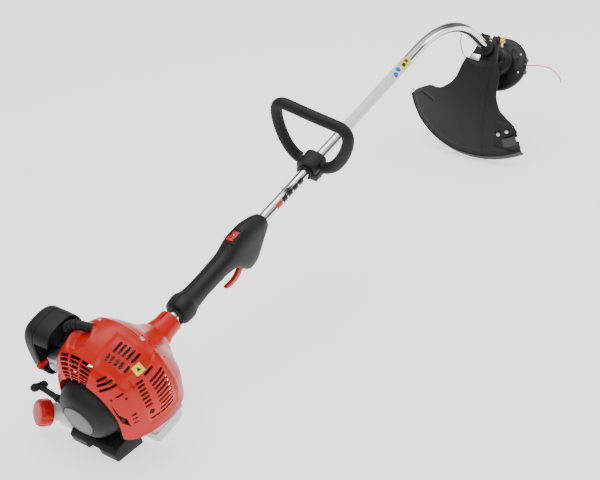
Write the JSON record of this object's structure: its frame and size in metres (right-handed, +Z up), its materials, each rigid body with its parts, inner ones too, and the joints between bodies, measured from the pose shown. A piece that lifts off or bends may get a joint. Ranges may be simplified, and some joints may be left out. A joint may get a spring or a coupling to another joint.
{
  "type": "string trimmer",
  "caption": "Petrol string trimmer: engine, curved chrome shaft, loop handle, trigger grip, debris shield and two-line cutting head.",
  "frame": {"origin": "centre of the engine stand's flat underside, on the floor", "axes": "+X forward from the engine towards the cutting head, +Y to the operator's left, +Z up"},
  "size_m": [1.5737, 0.3727, 0.4136],
  "materials": {
    "shaft_chrome": "polished plated steel tube",
    "plated_steel": "satin steel",
    "yellow_zinc": "yellow passivated zinc on steel",
    "cast_aluminium": "die cast",
    "red_plastic": "glossy moulded orange-red",
    "black_plastic": "fine moulded texture",
    "black_rubber": "soft matt",
    "grey_plastic": "satin",
    "tank_plastic": "translucent natural polyethylene",
    "line_nylon": "clear-dyed nylon",
    "rope_fibre": "braided cord",
    "filter_foam": "open-cell foam"
  },
  "bodies": {
    "trimmer": {"air_filter": "filter_foam", "air_filter_base": "black_plastic", "bearing_housing": "black_plastic", "carburettor": "cast_aluminium", "clamp_bolt": "yellow_zinc", "clutch_case": "red_plastic", "connecting_rod": "plated_steel", "crankcase": "cast_aluminium", "cutoff_knife": "plated_steel", "cylinder": "cast_aluminium", "drive_cable": "plated_steel", "engine_cover": "red_plastic", "engine_stand": "black_plastic", "fuel_line": "black_rubber", "fuel_tank": "tank_plastic", "grip_left": "black_plastic", "grip_right": "black_plastic", "ignition_coil": "black_plastic", "intake_block": "black_plastic", "knife_screw_1": "plated_steel", "knife_screw_2": "plated_steel", "muffler": "plated_steel", "piston": "cast_aluminium", "purge_bulb": "tank_plastic", "rear_grille": "red_plastic", "shaft_tube": "shaft_chrome", "shield": "black_plastic", "shield_bracket": "black_plastic", "shield_plate": "plated_steel", "spark_plug": "plated_steel", "spark_plug_boot": "black_rubber", "starter_badge": "grey_plastic", "starter_cover": "black_plastic", "throttle_cable": "black_rubber"},
    "handle_slider": {"handle_liner": "black_rubber"},
    "loop_handle": {"loop_handle": "black_rubber", "handle_cradle": "black_plastic", "handle_clamp": "black_plastic", "handle_bolt_1": "yellow_zinc", "handle_bolt_2": "yellow_zinc"},
    "trigger": {"trigger": "red_plastic"},
    "stop_switch": {"stop_switch": "red_plastic"},
    "clutch_drum": {"clutch_drum": "plated_steel"},
    "crankshaft": {"crankshaft": "plated_steel", "flywheel": "cast_aluminium", "clutch_shoes": "cast_aluminium"},
    "cutting_head": {"trimmer_head": "black_plastic", "head_hub": "black_plastic", "head_arbor": "plated_steel", "line_left": "line_nylon", "line_right": "line_nylon"},
    "starter_pulley": {"starter_pulley": "black_plastic"},
    "starter_grip": {"starter_grip": "black_plastic", "starter_rope": "rope_fibre"},
    "throttle_lever": {"carb_throttle_lever": "black_plastic"},
    "choke_lever": {"choke_lever": "red_plastic"},
    "air_filter_cover": {"air_filter_cover": "black_plastic"},
    "fuel_cap": {"fuel_cap": "red_plastic", "fuel_cap_seal": "black_rubber"},
    "wing_nut": {"wing_nut": "yellow_zinc"}
  },
  "joints": [
    {"name": "handle_slide", "type": "slide", "parent": "trimmer", "child": "handle_slider", "axis": [0.9658, 0, 0.2594], "range_m": [-0.06, 0.06]},
    {"name": "handle_roll", "type": "hinge", "parent": "handle_slider", "child": "loop_handle", "pos_m": [0.61925, 0, 0.26578], "axis": [0.9658, 0, 0.2594], "range_deg": [-15, 15]},
    {"name": "trigger_pull", "type": "hinge", "parent": "trimmer", "child": "trigger", "pos_m": [0.38797, 0, 0.17467], "axis": [0, 1, 0], "range_deg": [0, 16], "stiffness_Nm_per_rad": 0.3, "springref_deg": -20.05},
    {"name": "switch_rock", "type": "hinge", "parent": "trimmer", "child": "stop_switch", "pos_m": [0.36256, -0.002, 0.22687], "axis": [0, 1, 0], "range_deg": [0, 9]},
    {"name": "head_spin", "type": "hinge", "parent": "trimmer", "child": "cutting_head", "pos_m": [1.45288, 0, 0.20232], "axis": [0.7778, 0, -0.6285], "continuous": true},
    {"name": "drum_spin", "type": "hinge", "parent": "trimmer", "child": "clutch_drum", "pos_m": [0.13154, 0, 0.13479], "axis": [0.9658, 0, 0.2594], "continuous": true},
    {"name": "crank_spin", "type": "hinge", "parent": "trimmer", "child": "crankshaft", "pos_m": [0.06393, 0, 0.11663], "axis": [0.9658, 0, 0.2594], "continuous": true},
    {"name": "starter_pull", "type": "slide", "parent": "trimmer", "child": "starter_grip", "axis": [-0.0726, 0.96, 0.2704], "range_m": [0, 0.09], "stiffness_N_per_m": 100, "springref_m": -0.05},
    {"name": "pulley_spin", "type": "hinge", "parent": "trimmer", "child": "starter_pulley", "pos_m": [-0.0423, 0, 0.0881], "axis": [0.9658, 0, 0.2594], "range_deg": [0, 415]},
    {"name": "throttle_turn", "type": "hinge", "parent": "trimmer", "child": "throttle_lever", "pos_m": [-0.01512, 0.08, 0.16426], "axis": [-0.2594, 0, 0.9658], "range_deg": [0, 60]},
    {"name": "choke_turn", "type": "hinge", "parent": "trimmer", "child": "choke_lever", "pos_m": [-0.01638, 0.097, 0.1458], "axis": [0, 1, 0], "range_deg": [-35, 0]},
    {"name": "cover_lift", "type": "slide", "parent": "trimmer", "child": "air_filter_cover", "axis": [0, 1, 0], "range_m": [0, 0.06]},
    {"name": "cap_turn", "type": "hinge", "parent": "trimmer", "child": "fuel_cap", "pos_m": [-0.03977, 0.108, 0.04011], "axis": [-0.8739, 0.3772, 0.3068], "range_deg": [0, 540]},
    {"name": "wing_nut_turn", "type": "hinge", "parent": "trimmer", "child": "wing_nut", "pos_m": [1.39354, 0, 0.28626], "axis": [0, 1, 0], "continuous": true}
  ],
  "couplings": [
    {"joint": "drum_spin", "follows": "head_spin", "ratio": 1},
    {"joint": "pulley_spin", "follows": "starter_pull", "rad_per_m": 80},
    {"joint": "throttle_turn", "follows": "trigger_pull", "ratio": 3.7}
  ]
}
